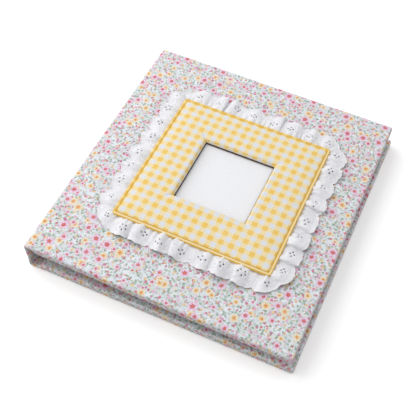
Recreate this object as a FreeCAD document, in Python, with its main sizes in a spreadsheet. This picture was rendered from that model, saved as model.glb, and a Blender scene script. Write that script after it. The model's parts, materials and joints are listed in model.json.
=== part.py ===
import FreeCAD, Part
import math
import os
import Sketcher

# A padded, cloth-covered scrapbook album lying closed, in millimetres.
# The origin is under the middle of the closed album, on the surface it lies on.
# +X runs from the spine to the fore edge, +Y from the tail to the head, +Z up.

doc = FreeCAD.newDocument("scrapbook_album")

SIZES = [
    # the three padded panels
    ("cover_length", 292.0),  # tail to head
    ("album_width", 274.2),  # spine to fore edge, closed
    ("front_short", 2.3),  # the front cover stops this short of the back cover's fore edge
    ("cover_thick", 9.0),
    ("spine_rise", 35.7),  # outside height of the closed album at the spine
    ("spine_thick", 3.7),
    ("cover_tilt", 1.5),  # degrees that the front cover slopes down to the fore edge
    ("hinge_reach", 8.0),  # from an outer corner of the spine to where the stiff panels start
    ("hinge_depth", 4.0),  # from the same corner to the line that the cloth bends about
    ("hinge_wall", 1.5),  # cloth and batting round the corner
    ("panel_round", 3.0),  # the panels' corners, seen from above
    ("cloth", 0.6),
    ("board_thick", 2.0),
    ("board_inset", 4.0),  # batting between a board's edge and the cloth
    ("spine_inset", 1.0),
    ("turn_in", 15.0),  # cloth folded over onto the inner face
    # the ring set on the spine
    ("plate_wide", 15.2),
    ("plate_high", 4.0),
    ("plate_wall", 0.8),
    ("plate_length", 252.0),
    ("blade_wide", 6.3),
    ("blade_thick", 0.8),
    ("blade_length", 226.0),
    ("blade_low", 0.9),  # the blades' height over the spine's inner face
    ("blade_gap", 0.3),  # between a blade and the plate's wall
    ("ring_spacing", 107.95),
    ("ring_bore", 10.4),  # inside the closed ring
    ("wire_radius", 1.0),
    ("tip_gap", 0.3),  # between the two tips of a closed ring
    ("leg_offset", 3.4),  # the wire's leg from the ring's middle plane
    ("slot_long", 3.3),
    ("slot_wide", 2.7),
    ("slot_start", 2.0),
    ("rivet_radius", 2.0),
    ("rivet_head", 3.2),
    ("rivet_dome", 0.8),
    ("rivet_place", 117.0),  # from the middle of the album
    ("trigger_wide", 11.0),
    ("trigger_wall", 1.0),
    ("trigger_low", 0.8),
    ("trigger_arm", 5.5),
    ("trigger_tab", 10.0),
    ("trigger_rise", 5.0),
    ("trigger_place", 121.0),  # the inner end of each trigger from the middle
    # the pages
    ("page_wide", 230.0),
    ("page_length", 270.0),
    ("page_thick", 0.35),
    ("page_gap", 0.3),
    ("page_edge", 0.2),  # from the ring's centre to the page's bound edge
    ("hole_radius", 3.3),
    # the framed photo pocket on the front cover
    ("frame_x", 4.6),
    ("frame_y", 1.4),
    ("frame_outer", 159.6),
    ("frame_window", 76.0),
    ("frame_high", 6.7),
    ("frame_round", 2.4),
    ("frame_board_thick", 1.5),
    ("pocket_gap", 1.3),
    ("piping_wide", 1.5),
    ("piping_high", 2.4),
    ("piping_lift", 2.2),
    ("heading_wide", 4.7),
    ("lace_lift", 1.0),
    ("heading_thick", 0.9),
    ("ruffle_wide", 19.0),
    ("ruffle_thick", 3.5),
    ("ruffle_round", 17.0),
    ("card_wide", 104.0),
    ("card_length", 128.0),
    ("card_thick", 0.4),
    ("card_lift", 0.25),
    ("card_margin", 3.0),  # from the card's tail edge to the bottom strip
    ("card_free", 9.8),  # from the card to a side strip, with the frame's cloth
    ("strip_wide", "=( frame_outer - card_wide ) / 2 - card_free"),
]
PAGES = 6
HINGE_SWEEP = 60  # degrees of bent cloth that go with each cover
BACK_SWEEP_START = 210
FRONT_SWEEP_START = 90

sheet = doc.addObject("Spreadsheet::Sheet", "Sizes")
for row, (alias, number) in enumerate(SIZES, start=1):
    sheet.set(f"A{row}", alias)
    sheet.set(f"B{row}", str(number))
    sheet.setAlias(f"B{row}", alias)
doc.recompute()
ALIASES = {alias for alias, number in SIZES}

X_AXIS = FreeCAD.Vector(1, 0, 0)
Y_AXIS = FreeCAD.Vector(0, 1, 0)
Z_AXIS = FreeCAD.Vector(0, 0, 1)
nodes = []


def turn(axis, degrees):
    return FreeCAD.Rotation(axis, degrees)


def formula(text):
    """A sum written with the sheet's names, as an expression that reads the sheet."""
    words = text.replace("(", " ( ").replace(")", " ) ").split()
    return " ".join(f"Sizes.{w}" if w in ALIASES else w for w in words)


def keep(item, name, placement):
    """Name a finished sub-part and put it in its place."""
    item.Label = name
    item.Placement = placement
    nodes.append(item)
    return item


# --- places that more than one piece uses -------------------------------------------------

half_width = sheet.album_width / 2
half_length = sheet.cover_length / 2
panel_start = -half_width + sheet.hinge_reach
hinge_x = -half_width + sheet.hinge_depth
front_hinge_z = sheet.spine_rise - sheet.hinge_depth
spine_face = -half_width + sheet.spine_thick
ring_radius = sheet.ring_bore / 2 + sheet.wire_radius
ring_x = spine_face + sheet.plate_high + sheet.ring_bore / 2
ring_z = sheet.spine_rise / 2
blade_edge = sheet.plate_wide / 2 - sheet.plate_wall - sheet.blade_gap
strip_outer = sheet.frame_outer - 2 * sheet.cloth


def still(x, y, z, rotation=FreeCAD.Rotation()):
    return FreeCAD.Placement(FreeCAD.Vector(x, y, z), rotation)


def tilt_about(x, z, degrees):
    """A turn about a line along Y that passes through x, z."""
    pivot = FreeCAD.Vector(x, 0, z)
    spin = turn(Y_AXIS, degrees)
    return FreeCAD.Placement(pivot - spin.multVec(pivot), spin)


front_tilt = tilt_about(hinge_x, front_hinge_z, sheet.cover_tilt)


# --- ways of drawing ------------------------------------------------------------------------


def draw_on(body, plane, name):
    sketch = body.newObject("Sketcher::SketchObject", name)
    support = [f for f in body.Origin.OriginFeatures if f.Role == plane][0]
    sketch.AttachmentSupport = [(support, "")]
    sketch.MapMode = "FlatFace"
    return sketch


def tie(sketch, kind, first, second, size):
    """A constraint between two points, or on one circle, whose value is a sum of sheet names."""
    places = list(first) + list(second)
    index = sketch.addConstraint(Sketcher.Constraint(kind, *places, 1.0))
    sketch.setExpression(f"Constraints[{index}]", formula(size))


def draw_rectangle(sketch, wide, long):
    """A rectangle about the origin."""
    start = sketch.GeometryCount
    corners = [(-5, -5), (5, -5), (5, 5), (-5, 5)]
    for (x1, y1), (x2, y2) in zip(corners, corners[1:] + corners[:1]):
        line = Part.LineSegment(FreeCAD.Vector(x1, y1, 0), FreeCAD.Vector(x2, y2, 0))
        sketch.addGeometry(line)
    for side in range(4):
        kind = "Horizontal" if side % 2 == 0 else "Vertical"
        sketch.addConstraint(Sketcher.Constraint(kind, start + side))
        follower = start + (side + 1) % 4
        sketch.addConstraint(Sketcher.Constraint("Coincident", start + side, 2, follower, 1))
    sketch.addConstraint(Sketcher.Constraint("Symmetric", start, 1, start + 1, 2, -1, 1))
    tie(sketch, "DistanceX", (start, 1), (start, 2), wide)
    tie(sketch, "DistanceY", (start + 1, 1), (start + 1, 2), long)


def draw_circle(sketch, across, up, radius, left=False, down=False):
    """A circle whose centre is a sum of sheet names away from the origin, either way."""
    centre = FreeCAD.Vector(-9 if left else 9, -9 if down else 9, 0)
    index = sketch.addGeometry(Part.Circle(centre, Z_AXIS, 2))
    tie(sketch, "Radius", (index,), (), radius)
    for kind, size, backwards in (("DistanceX", across, left), ("DistanceY", up, down)):
        if size == "0":
            axis = -2 if kind == "DistanceX" else -1
            sketch.addConstraint(Sketcher.Constraint("PointOnObject", index, 3, axis))
        elif backwards:
            tie(sketch, kind, (index, 3), (-1, 1), size)
        else:
            tie(sketch, kind, (-1, 1), (index, 3), size)


def draw_outline(sketch, corners):
    """A closed outline whose corners are pairs of sums, each measured from the origin."""
    start = sketch.GeometryCount
    count = len(corners)
    for i in range(count):
        a = 2 * math.pi * i / count
        b = 2 * math.pi * (i + 1) / count
        line = Part.LineSegment(
            FreeCAD.Vector(30 + 20 * math.cos(a), 30 + 20 * math.sin(a), 0),
            FreeCAD.Vector(30 + 20 * math.cos(b), 30 + 20 * math.sin(b), 0),
        )
        sketch.addGeometry(line)
    for i in range(count):
        following = start + (i + 1) % count
        sketch.addConstraint(Sketcher.Constraint("Coincident", start + i, 2, following, 1))
    for i, pair in enumerate(corners):
        for kind, size, axis in (("DistanceX", pair[0], -2), ("DistanceY", pair[1], -1)):
            if size == "0":
                on_axis = Sketcher.Constraint("PointOnObject", start + i, 1, axis)
                sketch.addConstraint(on_axis)
            else:
                tie(sketch, kind, (-1, 1), (start + i, 1), size)


def pad(body, sketch, size, middle=False):
    feature = body.newObject("PartDesign::Pad", sketch.Name + "_pad")
    feature.Profile = sketch
    feature.Midplane = middle
    feature.setExpression("Length", formula(size))
    sketch.Visibility = False
    body.Tip = feature
    doc.recompute()
    return feature


def cut_through(body, sketch):
    feature = body.newObject("PartDesign::Pocket", sketch.Name + "_cut")
    feature.Profile = sketch
    feature.Type = "ThroughAll"
    feature.Midplane = True
    body.Tip = feature
    doc.recompute()
    return feature


def round_off(body, feature, edges, radius):
    fillet = body.newObject("PartDesign::Fillet", body.Name + "_round")
    fillet.Base = (feature, edges)
    fillet.setExpression("Radius", formula(radius))
    body.Tip = fillet
    doc.recompute()
    return fillet


def edges_where(feature, test):
    """Names of the edges whose bounding box passes the test."""
    found = enumerate(feature.Shape.Edges, start=1)
    return [f"Edge{i}" for i, edge in found if test(edge.BoundBox)]


def slab(name, wide, long, thick, corner=None, holes=()):
    """A flat panel about the origin, from z = 0 up, with round corners and round holes."""
    body = doc.addObject("PartDesign::Body", name + "_body")
    sketch = draw_on(body, "XY_Plane", name + "_outline")
    draw_rectangle(sketch, wide, long)
    for hole in holes:
        draw_circle(sketch, **hole)
    feature = pad(body, sketch, thick)
    if corner:
        upright = edges_where(feature, lambda box: box.ZLength > 0.01 and box.XLength < 0.01)
        straight = [e for e in upright if feature.Shape.getElement(e).Length == box_height(feature)]
        round_off(body, feature, straight, corner)
    return body


def box_height(feature):
    return feature.Shape.BoundBox.ZLength


def ring_slab(name, outer, window, thick, corner=None, top_round=None):
    """A square ring about the origin, from z = 0 up."""
    body = doc.addObject("PartDesign::Body", name + "_body")
    sketch = draw_on(body, "XY_Plane", name + "_outline")
    draw_rectangle(sketch, outer, outer)
    draw_rectangle(sketch, window, window)
    feature = pad(body, sketch, thick)
    if corner:
        far = feature.Shape.BoundBox.XMax - 0.01
        outer_corners = edges_where(
            feature, lambda box: box.ZLength > 0.01 and box.XLength < 0.01 and abs(box.XMin) > far
        )
        feature = round_off(body, feature, outer_corners, corner)
    if top_round:
        top = feature.Shape.BoundBox.ZMax - 0.01
        upper = edges_where(feature, lambda box: box.ZMin > top)
        round_off(body, feature, upper, top_round)
    return body


def block(name, wide, long, thick, lift="0"):
    """A plain box about the origin in X and Y, used to hollow something out."""
    box = doc.addObject("Part::Box", name)
    box.setExpression("Length", formula(wide))
    box.setExpression("Width", formula(long))
    box.setExpression("Height", formula(thick))
    box.setExpression("Placement.Base.x", "-( " + formula(wide) + " ) / 2")
    box.setExpression("Placement.Base.y", "-( " + formula(long) + " ) / 2")
    box.setExpression("Placement.Base.z", formula(lift))
    return box


def without(name, base, *tools):
    """Base with each tool cut out of it."""
    for count, tool in enumerate(tools, start=1):
        cut = doc.addObject("Part::Cut", f"{name}_cut_{count}")
        cut.Base = base
        cut.Tool = tool
        doc.recompute()
        base = cut
    return base


# --- the three padded panels ----------------------------------------------------------------


def padded_panel(name, wide, thick, inset, lip, place, holes=()):
    """A board, its batting, the cloth round them and the liner; the outer face is at z = 0."""
    inner = f"{thick} - cloth"
    board_wide = f"{wide} - 2 * ( cloth + {inset} )"
    board_long = "cover_length - 2 * ( cloth + board_inset )"
    board_lift = f"{inner} - board_thick"
    window_wide = f"{wide} - 2 * {lip}"
    window_long = "cover_length - 2 * turn_in"
    shell = slab(name + "_wrap", wide, "cover_length", thick, corner="panel_round")
    hollow = block(
        name + "_hollow", f"{wide} - 2 * cloth", "cover_length - 2 * cloth", f"{inner} - cloth", "cloth"
    )
    window = block(name + "_window", window_wide, window_long, "cloth", inner)
    keep(without(name + "_fabric", shell, hollow, window), name + "_fabric", place)

    batting = block(
        name + "_batting", f"{wide} - 2 * cloth", "cover_length - 2 * cloth", f"{inner} - cloth", "cloth"
    )
    room = block(name + "_board_room", board_wide, board_long, "board_thick", board_lift)
    keep(without(name + "_padding", batting, room), name + "_padding", place)

    lift = sheet.cover_thick if thick == "cover_thick" else sheet.spine_thick
    board_height = lift - sheet.cloth - sheet.board_thick
    board = slab(name + "_board", board_wide, board_long, "board_thick", holes=holes)
    keep(board, name + "_board", place * still(0, 0, board_height))
    liner = slab(name + "_liner", window_wide, window_long, "cloth", holes=holes)
    keep(liner, name + "_liner", place * still(0, 0, lift - sheet.cloth))


def make_covers():
    back_wide = half_width - panel_start
    front_wide = back_wide - sheet.front_short
    back_place = still(panel_start + back_wide / 2, 0, 0)
    padded_panel(
        "back", "( album_width - hinge_reach )", "cover_thick", "board_inset", "turn_in", back_place
    )
    turned_over = turn(Y_AXIS, 180)
    front_place = front_tilt * still(panel_start + front_wide / 2, 0, sheet.spine_rise, turned_over)
    padded_panel(
        "front", "( album_width - hinge_reach - front_short )", "cover_thick", "board_inset",
        "turn_in", front_place,
    )
    upright = still(-half_width, 0, sheet.spine_rise / 2, turn(Y_AXIS, 90))
    rivet_holes = [
        {"across": "0", "up": "rivet_place", "radius": "rivet_radius", "down": down}
        for down in (False, True)
    ]
    padded_panel(
        "spine", "( spine_rise - 2 * hinge_reach )", "spine_thick", "spine_inset", "cloth",
        upright, rivet_holes,
    )


def make_hinge_strip(name, start_angle, place):
    """The cloth and batting that bend round one corner of the spine, on the cover's side."""
    solids = []
    for part, radius in (("outside", "hinge_reach"), ("inside", "hinge_reach - hinge_wall")):
        piece = doc.addObject("Part::Cylinder", f"{name}_{part}")
        piece.setExpression("Radius", formula(radius))
        piece.setExpression("Height", formula("cover_length"))
        piece.Angle = HINGE_SWEEP
        piece.Placement = FreeCAD.Placement(FreeCAD.Vector(), turn(Z_AXIS, start_angle))
        solids.append(piece)
    keep(without(name, *solids), name, place)


def make_hinge_strips():
    along = turn(X_AXIS, 90)
    back = still(panel_start, half_length, sheet.hinge_reach, along)
    make_hinge_strip("back_hinge_strip", BACK_SWEEP_START, back)
    front = still(panel_start, half_length, sheet.spine_rise - sheet.hinge_reach, along)
    make_hinge_strip("front_hinge_strip", FRONT_SWEEP_START, front_tilt * front)


# --- the ring set -----------------------------------------------------------------------------


def make_ring_plate():
    """A sheet-metal channel, open towards the spine, with a slot for each leg of wire."""
    body = doc.addObject("PartDesign::Body", "ring_plate_body")
    sketch = draw_on(body, "XZ_Plane", "channel")
    inner_wide = "plate_wide - plate_wall"
    inner_high = "plate_high - plate_wall"
    draw_outline(sketch, [
        ("0", "0"), ("plate_high", "0"), ("plate_high", "plate_wide"), ("0", "plate_wide"),
        ("0", inner_wide), (inner_high, inner_wide), (inner_high, "plate_wall"), ("0", "plate_wall"),
    ])
    pad(body, sketch, "plate_length", middle=True)
    openings = draw_on(body, "YZ_Plane", "plate_openings")
    for down in (False, True):
        draw_circle(openings, "rivet_place", "plate_wide / 2", "rivet_radius", left=down)
    cut_through(body, openings)
    plate = keep_slots(body)
    keep(plate, "ring_plate", still(spine_face, 0, ring_z - sheet.plate_wide / 2))


def keep_slots(plate):
    """The plate with six slots cut through its cap."""
    slots = []
    for ring in (-1, 0, 1):
        for side in (-1, 1):
            slot = doc.addObject("Part::Box", "slot")
            slot.setExpression("Length", formula("plate_high + cloth"))
            slot.setExpression("Width", formula("slot_wide"))
            slot.setExpression("Height", formula("slot_long"))
            first = "slot_start" if side > 0 else "- slot_start - slot_long"
            slot.setExpression("Placement.Base.y", formula(f"{ring} * ring_spacing - slot_wide / 2"))
            slot.setExpression("Placement.Base.z", formula(f"plate_wide / 2 + {first}"))
            slots.append(slot)
    return without("ring_plate", plate, *slots)


def make_blade(name, side):
    """One of the two spring blades under the plate; side is +1 towards the front cover."""
    blade = doc.addObject("Part::Box", name + "_strip")
    blade.setExpression("Length", formula("blade_thick"))
    blade.setExpression("Width", formula("blade_length"))
    blade.setExpression("Height", formula("blade_wide"))
    low = blade_edge - sheet.blade_wide if side > 0 else -blade_edge
    keep(blade, name, still(spine_face + sheet.blade_low, -sheet.blade_length / 2, ring_z + low))


def make_ring_halves(name, side):
    """Three half rings with the legs that carry them on one blade."""
    tip_angle = math.degrees(sheet.tip_gap / 2 / ring_radius)
    leg_angle = 180 - math.degrees(math.asin(sheet.leg_offset / ring_radius))
    leg_top = ring_radius * math.cos(math.radians(leg_angle)) + sheet.wire_radius / 2
    leg_foot = sheet.blade_low + sheet.blade_thick - sheet.plate_high - sheet.ring_bore / 2
    pieces = []
    for ring in (-1, 0, 1):
        bow = doc.addObject("Part::Torus", name + "_bow")
        bow.setExpression("Radius1", formula("ring_bore / 2 + wire_radius"))
        bow.setExpression("Radius2", formula("wire_radius"))
        bow.Angle3 = leg_angle - tip_angle
        facing = turn(X_AXIS, 90 * side)
        bow.Placement = still(0, ring * sheet.ring_spacing, 0, facing * turn(Z_AXIS, tip_angle))
        leg = doc.addObject("Part::Cylinder", name + "_leg")
        leg.setExpression("Radius", formula("wire_radius"))
        leg.Height = leg_top - leg_foot
        offset = side * sheet.leg_offset
        leg.Placement = still(leg_foot, ring * sheet.ring_spacing, offset, turn(Y_AXIS, 90))
        pieces += [bow, leg]
    group = doc.addObject("Part::MultiFuse", name + "_group")
    group.Shapes = pieces
    doc.recompute()
    keep(group, name, still(ring_x, 0, ring_z))


def make_rivets():
    """Two rivets that hold the plate to the spine's board."""
    depth = sheet.cloth + sheet.board_thick
    pieces = []
    for end in (-1, 1):
        shank = doc.addObject("Part::Cylinder", "rivet_shank")
        shank.setExpression("Radius", formula("rivet_radius"))
        shank.setExpression("Height", formula("cloth + board_thick + plate_high"))
        shank.Placement = still(-depth, end * sheet.rivet_place, 0, turn(Y_AXIS, 90))
        head = doc.addObject("Part::Cone", "rivet_head")
        head.setExpression("Radius1", formula("rivet_head"))
        head.setExpression("Radius2", formula("rivet_radius"))
        head.setExpression("Height", formula("rivet_dome"))
        head.Placement = still(sheet.plate_high, end * sheet.rivet_place, 0, turn(Y_AXIS, 90))
        pieces += [shank, head]
    group = doc.addObject("Part::MultiFuse", "rivet_group")
    group.Shapes = pieces
    doc.recompute()
    keep(group, "ring_rivets", still(spine_face, 0, ring_z))


def make_trigger(name, end):
    """The lever at one end of the plate that opens the rings."""
    body = doc.addObject("PartDesign::Body", name + "_body")
    sketch = draw_on(body, "XY_Plane", name + "_side")
    reach = "trigger_arm + trigger_tab"
    draw_outline(sketch, [
        ("trigger_low", "0"), ("trigger_low + trigger_wall", "0"),
        ("trigger_low + trigger_wall", "trigger_arm"),
        ("trigger_rise + trigger_wall", reach), ("trigger_rise", reach),
        ("trigger_low", "trigger_arm + trigger_wall / 2"),
    ])
    pad(body, sketch, "trigger_wide", middle=True)
    facing = turn(X_AXIS, 0 if end > 0 else 180)
    keep(body, name, still(spine_face, end * sheet.trigger_place, ring_z, facing))


def make_ring_set():
    make_ring_plate()
    make_rivets()
    for name, side in (("front", 1), ("back", -1)):
        make_blade(f"{name}_ring_blade", side)
        make_ring_halves(f"{name}_ring_halves", side)
    make_trigger("tail_trigger", -1)
    make_trigger("head_trigger", 1)


# --- the pages ----------------------------------------------------------------------------------


def make_pages():
    """Punched card pages on the rings, half-way between the covers."""
    margin = "page_wide / 2 + page_edge - ring_bore / 2 - wire_radius"
    holes = [{"across": margin, "up": "0", "radius": "hole_radius", "left": True}]
    for down in (False, True):
        holes.append({
            "across": margin, "up": "ring_spacing", "radius": "hole_radius", "left": True, "down": down
        })
    pitch = sheet.page_thick + sheet.page_gap
    stack = PAGES * sheet.page_thick + (PAGES - 1) * sheet.page_gap
    lean = tilt_about(ring_x, ring_z, sheet.cover_tilt / 2)
    for number in range(PAGES):
        top = stack / 2 - number * pitch
        page = slab(f"page_{number + 1}_sheet", "page_wide", "page_length", "page_thick", holes=holes)
        middle = ring_x + sheet.page_edge + sheet.page_wide / 2
        keep(page, f"page_{number + 1}", lean * still(middle, 0, ring_z + top - sheet.page_thick))


# --- the framed pocket ----------------------------------------------------------------------------


def on_cover(x, y, z):
    """A place measured from the frame's middle on the front cover's outer face."""
    return front_tilt * still(sheet.frame_x + x, sheet.frame_y + y, sheet.spine_rise + z)


def make_frame():
    lift = sheet.pocket_gap
    inner_outer = "frame_outer - 2 * cloth"
    inner_window = "frame_window + 2 * cloth"
    cloth_ring = ring_slab(
        "frame_wrap", "frame_outer", "frame_window", "frame_high", top_round="frame_round"
    )
    hollow = ring_slab("frame_hollow", inner_outer, inner_window, "frame_high - cloth",
                       top_round="frame_round - cloth")
    keep(without("frame_fabric", cloth_ring, hollow), "frame_fabric", on_cover(0, 0, lift))
    board = ring_slab("frame_board", inner_outer, inner_window, "frame_board_thick")
    keep(board, "frame_board", on_cover(0, 0, lift))
    padding = ring_slab("frame_padding", inner_outer, inner_window,
                        "frame_high - cloth - frame_board_thick", top_round="frame_round - cloth")
    keep(padding, "frame_padding", on_cover(0, 0, lift + sheet.frame_board_thick))
    piping = ring_slab(
        "frame_piping", "frame_outer + 2 * piping_wide", "frame_outer", "piping_high", corner="piping_wide"
    )
    keep(piping, "frame_piping", on_cover(0, 0, sheet.piping_lift))


def make_pocket():
    """Three card strips that hold the frame off the cover and leave it open at the head."""
    offset = (strip_outer - sheet.strip_wide) / 2
    for name, side in (("spine_side_strip", -1), ("fore_side_strip", 1)):
        strip = slab(name, "strip_wide", "frame_outer - 2 * cloth", "pocket_gap")
        keep(strip, name, on_cover(side * offset, 0, 0))
    bottom = slab("tail_strip", "frame_outer - 2 * ( cloth + strip_wide )", "strip_wide", "pocket_gap")
    keep(bottom, "tail_strip", on_cover(0, -offset, 0))
    card = slab("photo_card_sheet", "card_wide", "card_length", "card_thick")
    card_tail = -strip_outer / 2 + sheet.strip_wide + sheet.card_margin
    keep(card, "photo_card", on_cover(0, card_tail + sheet.card_length / 2, sheet.card_lift))


def make_lace():
    heading_outer = "frame_outer + 2 * heading_wide"
    heading = ring_slab("lace_heading", heading_outer, "frame_outer", "heading_thick")
    keep(heading, "lace_heading", on_cover(0, 0, sheet.lace_lift))
    ruffle = ring_slab(
        "lace_ruffle", "frame_outer + 2 * ( heading_wide + ruffle_wide )", heading_outer,
        "ruffle_thick", corner="ruffle_round",
    )
    keep(ruffle, "lace_ruffle", on_cover(0, 0, sheet.lace_lift))


# --- build, check and write -------------------------------------------------------------------------

make_covers()
make_hinge_strips()
make_ring_set()
make_pages()
make_frame()
make_pocket()
make_lace()
doc.recompute()

for item in doc.Objects:
    if {"Invalid", "Error"} & set(item.State):
        raise RuntimeError(f"{item.Label} did not compute: {item.State}")
os.makedirs("parts", exist_ok=True)
for item in nodes:
    if item.Shape.isNull() or not item.Shape.isValid():
        raise RuntimeError(f"{item.Label} has no valid shape")
for item in nodes:
    item.Shape.exportStep(f"parts/{item.Label}.step")
print(len(nodes), "sub-parts written")
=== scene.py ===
"""A padded scrapbook album: printed cloth covers, a gingham photo frame, a gathered eyelet ruffle
and a ring set with its pages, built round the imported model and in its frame, in metres."""

import json
import math
import random

import bmesh
import bpy
import numpy as np
from bpy.props import FloatProperty, FloatVectorProperty, IntProperty, PointerProperty
from mathutils import Matrix, Vector, noise


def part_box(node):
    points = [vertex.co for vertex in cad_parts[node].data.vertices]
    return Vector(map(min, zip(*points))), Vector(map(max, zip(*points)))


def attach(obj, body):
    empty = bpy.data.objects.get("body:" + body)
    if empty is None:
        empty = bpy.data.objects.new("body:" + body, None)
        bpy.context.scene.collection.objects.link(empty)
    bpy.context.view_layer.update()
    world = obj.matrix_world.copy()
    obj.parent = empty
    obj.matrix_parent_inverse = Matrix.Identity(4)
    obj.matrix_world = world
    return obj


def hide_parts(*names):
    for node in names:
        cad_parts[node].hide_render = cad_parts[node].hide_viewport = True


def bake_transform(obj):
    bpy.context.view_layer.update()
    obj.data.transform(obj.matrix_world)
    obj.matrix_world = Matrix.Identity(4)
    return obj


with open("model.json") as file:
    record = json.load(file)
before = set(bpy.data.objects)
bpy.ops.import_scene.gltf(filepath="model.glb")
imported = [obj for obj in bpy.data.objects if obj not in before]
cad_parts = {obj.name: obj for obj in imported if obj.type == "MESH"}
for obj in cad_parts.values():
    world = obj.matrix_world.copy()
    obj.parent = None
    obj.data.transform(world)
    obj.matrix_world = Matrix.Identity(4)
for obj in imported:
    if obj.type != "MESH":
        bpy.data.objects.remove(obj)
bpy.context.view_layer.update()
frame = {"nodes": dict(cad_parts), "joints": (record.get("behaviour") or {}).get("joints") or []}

bl_info = {
    "name": "Scrapbook Album",
    "version": (1, 0, 0),
    "blender": (4, 5, 0),
    "location": "3D View > Sidebar > Album",
    "description": "Builds a padded scrapbook album with a ruffled photo frame",
    "category": "Add Mesh",
}

MM = 0.001

# --- the frame's own sizes ---

JOINTS = {joint["name"]: joint for joint in frame["joints"]}
BACK_HINGE = Vector(JOINTS["spine_hinge"]["pos_m"])
FRONT_HINGE = Vector(JOINTS["cover_hinge"]["pos_m"])
BACK_LOW, BACK_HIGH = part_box("back_fabric")
SPINE_LOW, SPINE_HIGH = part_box("spine_fabric")
HALF_LENGTH = BACK_HIGH.y
COVER_THICK = BACK_HIGH.z
OUTSIDE_X = SPINE_LOW.x  # the spine's outer face
PANEL_X = BACK_LOW.x  # where the stiff covers start
REACH = SPINE_LOW.z  # the hinge cloth's bend
RISE = FRONT_HINGE.z + BACK_HINGE.z  # outside height at the spine


def widest_normal(node):
    """The normal of a CAD node's largest flat face."""
    faces = {}
    for face in frame["nodes"][node].data.polygons:
        key = tuple(round(n, 4) for n in face.normal)
        faces[key] = faces.get(key, 0) + face.area
    return Vector(max(faces, key=faces.get))


LINER_NORMAL = widest_normal("front_liner")
TILT = abs(math.atan2(LINER_NORMAL.x, abs(LINER_NORMAL.z)))
CARD_HALF = 52 * MM  # half the photo card's width, which the padding leaves free at the head
LEAN = (
    Matrix.Translation(FRONT_HINGE)
    @ Matrix.Rotation(TILT, 4, "Y")
    @ Matrix.Translation(-FRONT_HINGE)
)
FRONT_WIDTH = 2 * (LEAN.inverted() @ (sum(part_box("front_board"), Vector()) / 2)).x - 2 * PANEL_X
FRAME_MIDDLE = LEAN.inverted() @ (sum(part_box("frame_board"), Vector()) / 2)
FRAME_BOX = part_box("frame_fabric")
FRAME_HALF = (FRAME_BOX[1].y - FRAME_BOX[0].y) / 2
FRAME_CENTRE = Vector((FRAME_MIDDLE.x, FRAME_MIDDLE.y, RISE))
ON_COVER = LEAN @ Matrix.Translation(FRAME_CENTRE)  # from the frame's own place to the leaning cover

ROUND_SHARE = 0.48  # of a panel's thickness: the radius that leaves its edge almost a half circle
BEND_STEPS = 7  # steps round a quarter of a padded edge


# --- what a user may change ---


def length(name, description, default):
    """A size in metres."""
    return FloatProperty(name=name, description=description, default=default, unit="LENGTH", precision=5)


def colour(name, description, red, green, blue):
    """A colour, given as it is seen on a screen."""
    return FloatVectorProperty(
        name=name, description=description, default=seen(red, green, blue), size=3, subtype="COLOR"
    )


def seen(red, green, blue):
    """A screen colour from 0 to 255, as the linear one that shaders take."""
    values = [c / 255 for c in (red, green, blue)]
    return tuple(c / 12.92 if c <= 0.04045 else ((c + 0.055) / 1.055) ** 2.4 for c in values)


class AlbumPrint(bpy.types.PropertyGroup):
    """The printed cotton of the covers."""

    ground: colour("Ground", "The cloth's pale ground", 205, 212, 215)
    leaf: colour("Leaf", "Small leaves", 150, 173, 153)
    dark_leaf: colour("Dark leaf", "The deeper leaves", 110, 133, 114)
    pink: colour("Pink", "Petals of the larger roses", 216, 156, 186)
    magenta: colour("Magenta", "Buds and the roses' inner petals", 190, 102, 140)
    coral: colour("Coral", "Centres and coral buds", 204, 102, 84)
    peach: colour("Peach", "Petals of the yellow flowers", 224, 196, 144)
    orange: colour("Orange", "Centres of the yellow flowers", 216, 148, 92)
    lilac: colour("Lilac", "Small specks", 184, 166, 204)
    rose_spacing: length("Rose spacing", "Distance between larger roses", 21 * MM)
    rose_radius: length("Rose radius", "Size of a larger rose", 4.9 * MM)


class AlbumCovers(bpy.types.PropertyGroup):
    """The padded covers and the cloth that joins them."""

    edge_round: length("Edge round", "Radius of the padded edges", 2.1 * MM)
    top_corner: length("Top corner", "Radius of the spine's upper corner", 4.5 * MM)
    foot_corner: length("Foot corner", "Radius of the spine's lower corner", 2.4 * MM)
    hinge_cloth: length("Hinge cloth", "Thickness of the cloth at the hinges", 1.7 * MM)
    taper: length("Taper", "Width over which the back cover thins to its hinge", 8 * MM)
    shoulder: length("Shoulder", "Thickness of the front cover where its hinge starts", 5.6 * MM)
    shoulder_wide: length("Shoulder width", "Width over which the front cover thins to that", 4.5 * MM)
    turn_in: length("Turn-in", "Cloth folded onto the inner face", 15 * MM)
    crown: length("Crown", "How far the padding swells between frame and edge", 0.55 * MM)
    rumple: length("Rumple", "Unevenness of the padding", 0.22 * MM)


class AlbumFrame(bpy.types.PropertyGroup):
    """The padded photo frame."""

    window: length("Window", "Side of the square window", 76 * MM)
    foot: length("Foot", "Height of the frame's underside over the cover", 1.3 * MM)
    top: length("Top", "Height of the padding over the cover", 7.8 * MM)
    outer_round: length("Outer round", "Width of the outer edge's curve", 2.4 * MM)
    # the lip is a painted shade line: the dark board ring stands in for the shadow under the window's edge
    lip: length("Lip", "How far the dark board shows inside the window", 0.6 * MM)
    inner_round: length("Inner round", "Width of the window edge's curve", 3.4 * MM)
    piping: length("Piping", "Radius of the piping", 1.9 * MM)
    check: length("Check", "Repeat of the gingham", 10.6 * MM)
    yellow: colour("Yellow", "The gingham's full colour", 229, 190, 94)
    half_yellow: colour("Half yellow", "Where one yellow thread crosses a white one", 229, 211, 166)
    white: colour("White", "The gingham's white", 213, 216, 224)


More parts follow.
